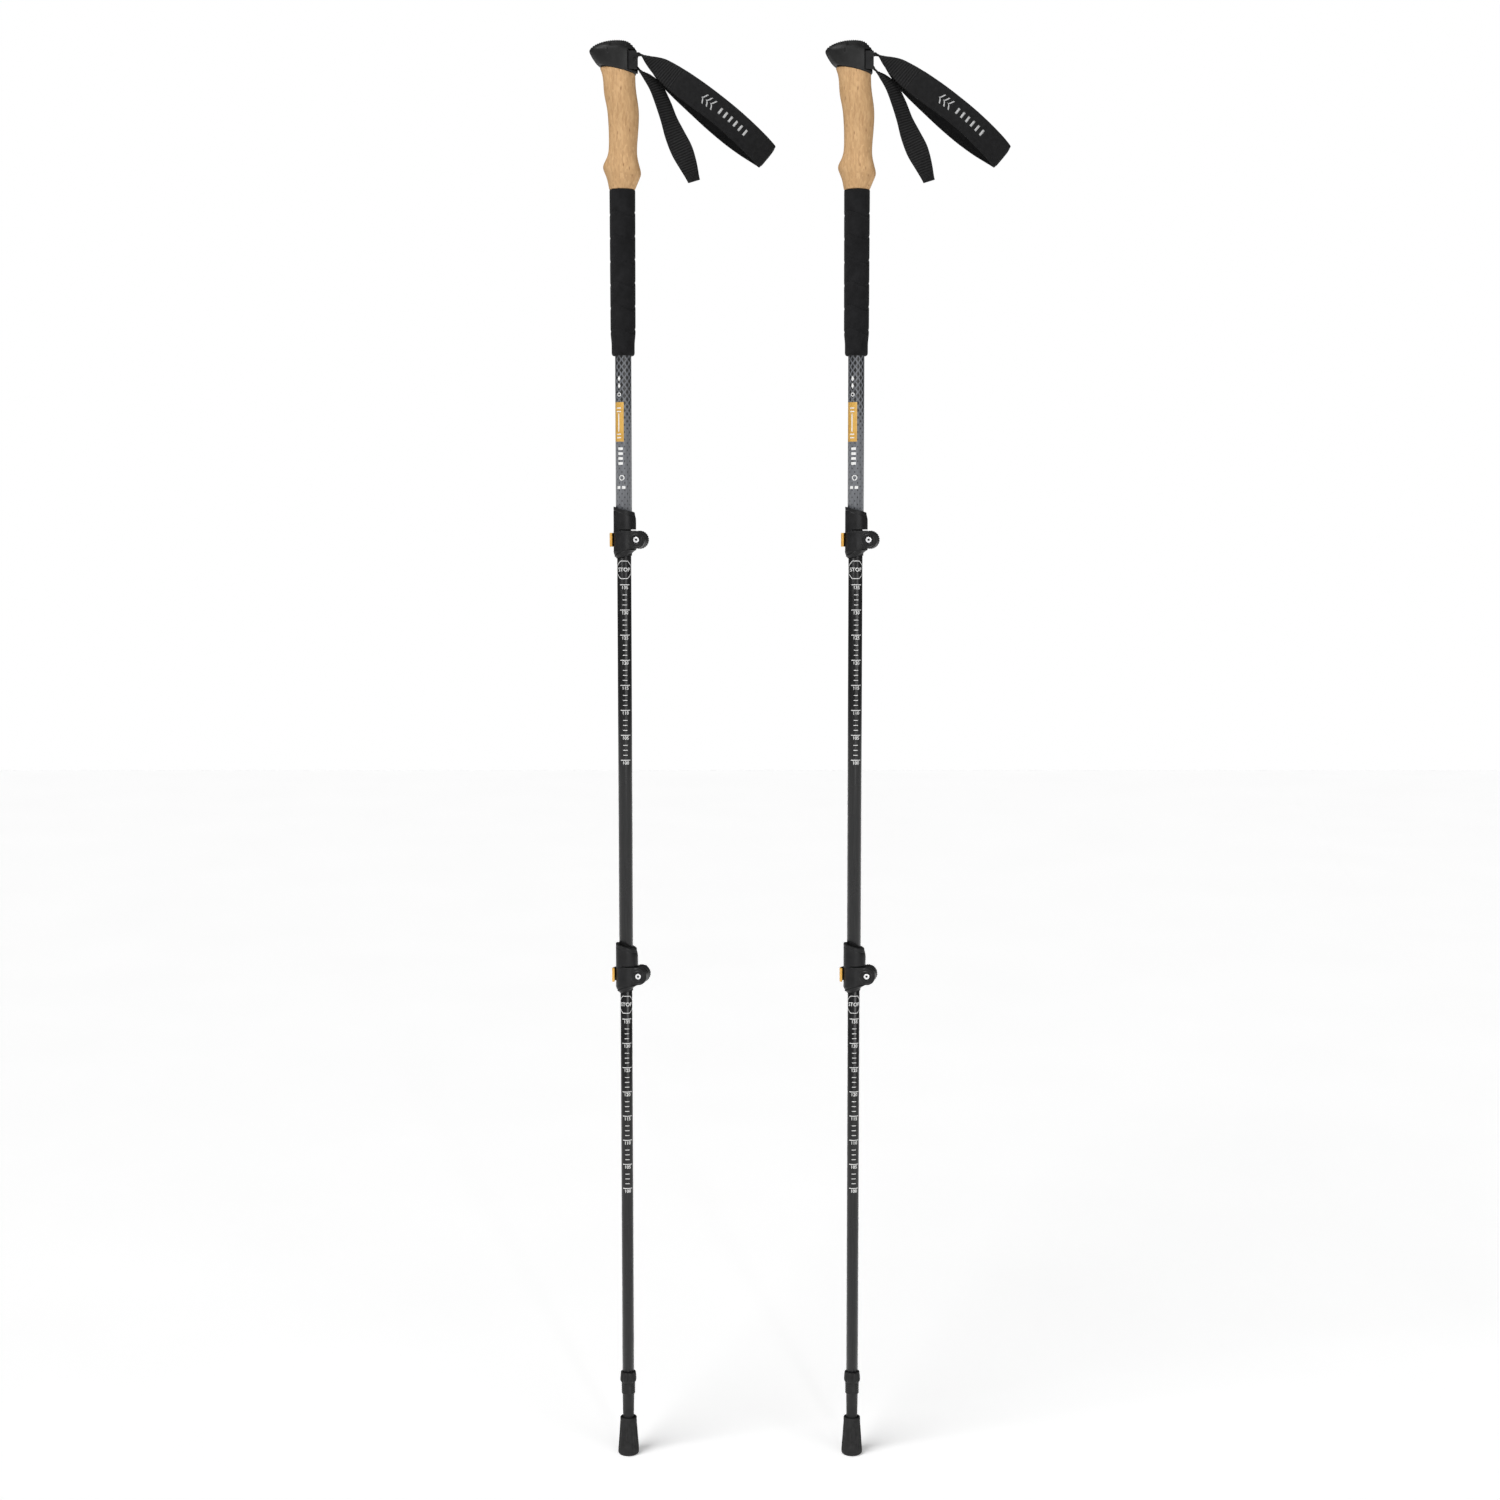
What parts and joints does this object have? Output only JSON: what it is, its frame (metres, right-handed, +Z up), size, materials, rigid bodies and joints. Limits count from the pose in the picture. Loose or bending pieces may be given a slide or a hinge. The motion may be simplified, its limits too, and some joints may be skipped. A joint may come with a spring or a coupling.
{
  "type": "trekking poles",
  "caption": "Pair of three-section telescopic trekking poles with cork and foam grips, padded wrist straps, lever clamps and rubber feet.",
  "frame": {"origin": "centre of the underside of the left pole's rubber foot", "axes": "+Z up along the upright poles, -X the way the grip heads' beaks point, +X towards the straps and the right pole, -Y the side of the clamp bolt heads"},
  "size_m": [0.4116, 0.04, 1.4223],
  "materials": {
    "head_plastic": "satin moulded",
    "soft_pad": "textured soft",
    "inner_plastic": "plain moulded",
    "cork": "fine grained cork",
    "foam": "matt closed-cell foam",
    "upper_carbon": "grey woven carbon under clear coat",
    "dark_carbon": "dark carbon under clear coat",
    "clamp_plastic": "satin glass-filled nylon",
    "tab_plastic": "orange-yellow moulded",
    "bolt_steel": "bright zinc-plated",
    "steel": "turned steel",
    "webbing": "ribbed polyester webbing",
    "padded_band": "brushed soft lining",
    "foot_rubber": "matt rubber"
  },
  "bodies": {
    "left_upper": {"left_head_cap": "head_plastic", "left_head_pad": "soft_pad", "left_grip_core": "inner_plastic", "left_cork_grip": "cork", "left_foam_grip": "foam", "left_upper_shaft": "upper_carbon", "left_upper_collar": "clamp_plastic", "left_upper_bolt": "bolt_steel", "left_upper_barrel": "steel"},
    "left_lock": {"left_strap_lock": "clamp_plastic", "left_strap_pin": "steel"},
    "left_strap": {"left_strap_webbing": "webbing", "left_strap_band": "padded_band"},
    "left_upper_dial": {"left_upper_dial": "clamp_plastic"},
    "left_upper_lever": {"left_upper_lever": "clamp_plastic", "left_upper_lever_tab": "tab_plastic"},
    "left_middle": {"left_middle_shaft": "dark_carbon", "left_middle_guide": "inner_plastic", "left_lower_collar": "clamp_plastic", "left_lower_bolt": "bolt_steel", "left_lower_barrel": "steel"},
    "left_lower_dial": {"left_lower_dial": "clamp_plastic"},
    "left_lower_lever": {"left_lower_lever": "clamp_plastic", "left_lower_lever_tab": "tab_plastic"},
    "left_lower": {"left_lower_shaft": "dark_carbon", "left_lower_guide": "inner_plastic", "left_tip_holder": "head_plastic", "left_carbide_tip": "steel"},
    "left_foot": {"left_rubber_foot": "foot_rubber"},
    "right_upper": {"right_head_cap": "head_plastic", "right_head_pad": "soft_pad", "right_grip_core": "inner_plastic", "right_cork_grip": "cork", "right_foam_grip": "foam", "right_upper_shaft": "upper_carbon", "right_upper_collar": "clamp_plastic", "right_upper_bolt": "bolt_steel", "right_upper_barrel": "steel"},
    "right_lock": {"right_strap_lock": "clamp_plastic", "right_strap_pin": "steel"},
    "right_strap": {"right_strap_webbing": "webbing", "right_strap_band": "padded_band"},
    "right_upper_dial": {"right_upper_dial": "clamp_plastic"},
    "right_upper_lever": {"right_upper_lever": "clamp_plastic", "right_upper_lever_tab": "tab_plastic"},
    "right_middle": {"right_middle_shaft": "dark_carbon", "right_middle_guide": "inner_plastic", "right_lower_collar": "clamp_plastic", "right_lower_bolt": "bolt_steel", "right_lower_barrel": "steel"},
    "right_lower_dial": {"right_lower_dial": "clamp_plastic"},
    "right_lower_lever": {"right_lower_lever": "clamp_plastic", "right_lower_lever_tab": "tab_plastic"},
    "right_lower": {"right_lower_shaft": "dark_carbon", "right_lower_guide": "inner_plastic", "right_tip_holder": "head_plastic", "right_carbide_tip": "steel"},
    "right_foot": {"right_rubber_foot": "foot_rubber"}
  },
  "joints": [
    {"name": "left_middle_slide", "type": "slide", "parent": "left_upper", "child": "left_middle", "axis": [0, 0, 1], "range_m": [0, 0.38]},
    {"name": "left_lower_slide", "type": "slide", "parent": "left_middle", "child": "left_lower", "axis": [0, 0, 1], "range_m": [0, 0.38]},
    {"name": "left_foot_pull", "type": "slide", "parent": "left_lower", "child": "left_foot", "axis": [0, 0, -1], "range_m": [0, 0.06]},
    {"name": "left_lock_slide", "type": "slide", "parent": "left_upper", "child": "left_lock", "axis": [1, 0, 0], "range_m": [0, 0.006]},
    {"name": "left_strap_swing", "type": "hinge", "parent": "left_lock", "child": "left_strap", "pos_m": [0.013, 0, 1.4023], "axis": [0, -1, 0], "range_deg": [-14, 30]},
    {"name": "left_upper_lever_turn", "type": "hinge", "parent": "left_upper", "child": "left_upper_lever", "pos_m": [0.01631, 0.01412, 0.938], "axis": [0, 0, -1], "range_deg": [0, 150]},
    {"name": "left_upper_dial_turn", "type": "hinge", "parent": "left_upper", "child": "left_upper_dial", "pos_m": [0.01526, 0.00751, 0.938], "axis": [0.1564, 0.9877, 0], "range_deg": [-360, 360]},
    {"name": "left_lower_lever_turn", "type": "hinge", "parent": "left_middle", "child": "left_lower_lever", "pos_m": [0.01631, 0.01412, 0.5], "axis": [0, 0, -1], "range_deg": [0, 150]},
    {"name": "left_lower_dial_turn", "type": "hinge", "parent": "left_middle", "child": "left_lower_dial", "pos_m": [0.01526, 0.00751, 0.5], "axis": [0.1564, 0.9877, 0], "range_deg": [-360, 360]},
    {"name": "right_middle_slide", "type": "slide", "parent": "right_upper", "child": "right_middle", "axis": [0, 0, 1], "range_m": [0, 0.38]},
    {"name": "right_lower_slide", "type": "slide", "parent": "right_middle", "child": "right_lower", "axis": [0, 0, 1], "range_m": [0, 0.38]},
    {"name": "right_foot_pull", "type": "slide", "parent": "right_lower", "child": "right_foot", "axis": [0, 0, -1], "range_m": [0, 0.06]},
    {"name": "right_lock_slide", "type": "slide", "parent": "right_upper", "child": "right_lock", "axis": [1, 0, 0], "range_m": [0, 0.006]},
    {"name": "right_strap_swing", "type": "hinge", "parent": "right_lock", "child": "right_strap", "pos_m": [0.243, 0, 1.4023], "axis": [0, -1, 0], "range_deg": [-14, 30]},
    {"name": "right_upper_lever_turn", "type": "hinge", "parent": "right_upper", "child": "right_upper_lever", "pos_m": [0.24631, 0.01412, 0.938], "axis": [0, 0, -1], "range_deg": [0, 150]},
    {"name": "right_upper_dial_turn", "type": "hinge", "parent": "right_upper", "child": "right_upper_dial", "pos_m": [0.24526, 0.00751, 0.938], "axis": [0.1564, 0.9877, 0], "range_deg": [-360, 360]},
    {"name": "right_lower_lever_turn", "type": "hinge", "parent": "right_middle", "child": "right_lower_lever", "pos_m": [0.24631, 0.01412, 0.5], "axis": [0, 0, -1], "range_deg": [0, 150]},
    {"name": "right_lower_dial_turn", "type": "hinge", "parent": "right_middle", "child": "right_lower_dial", "pos_m": [0.24526, 0.00751, 0.5], "axis": [0.1564, 0.9877, 0], "range_deg": [-360, 360]},
    {"name": "pole_spread", "type": "slide", "parent": "left_upper", "child": "right_upper", "axis": [1, 0, 0], "range_m": [0, 0.3]}
  ]
}
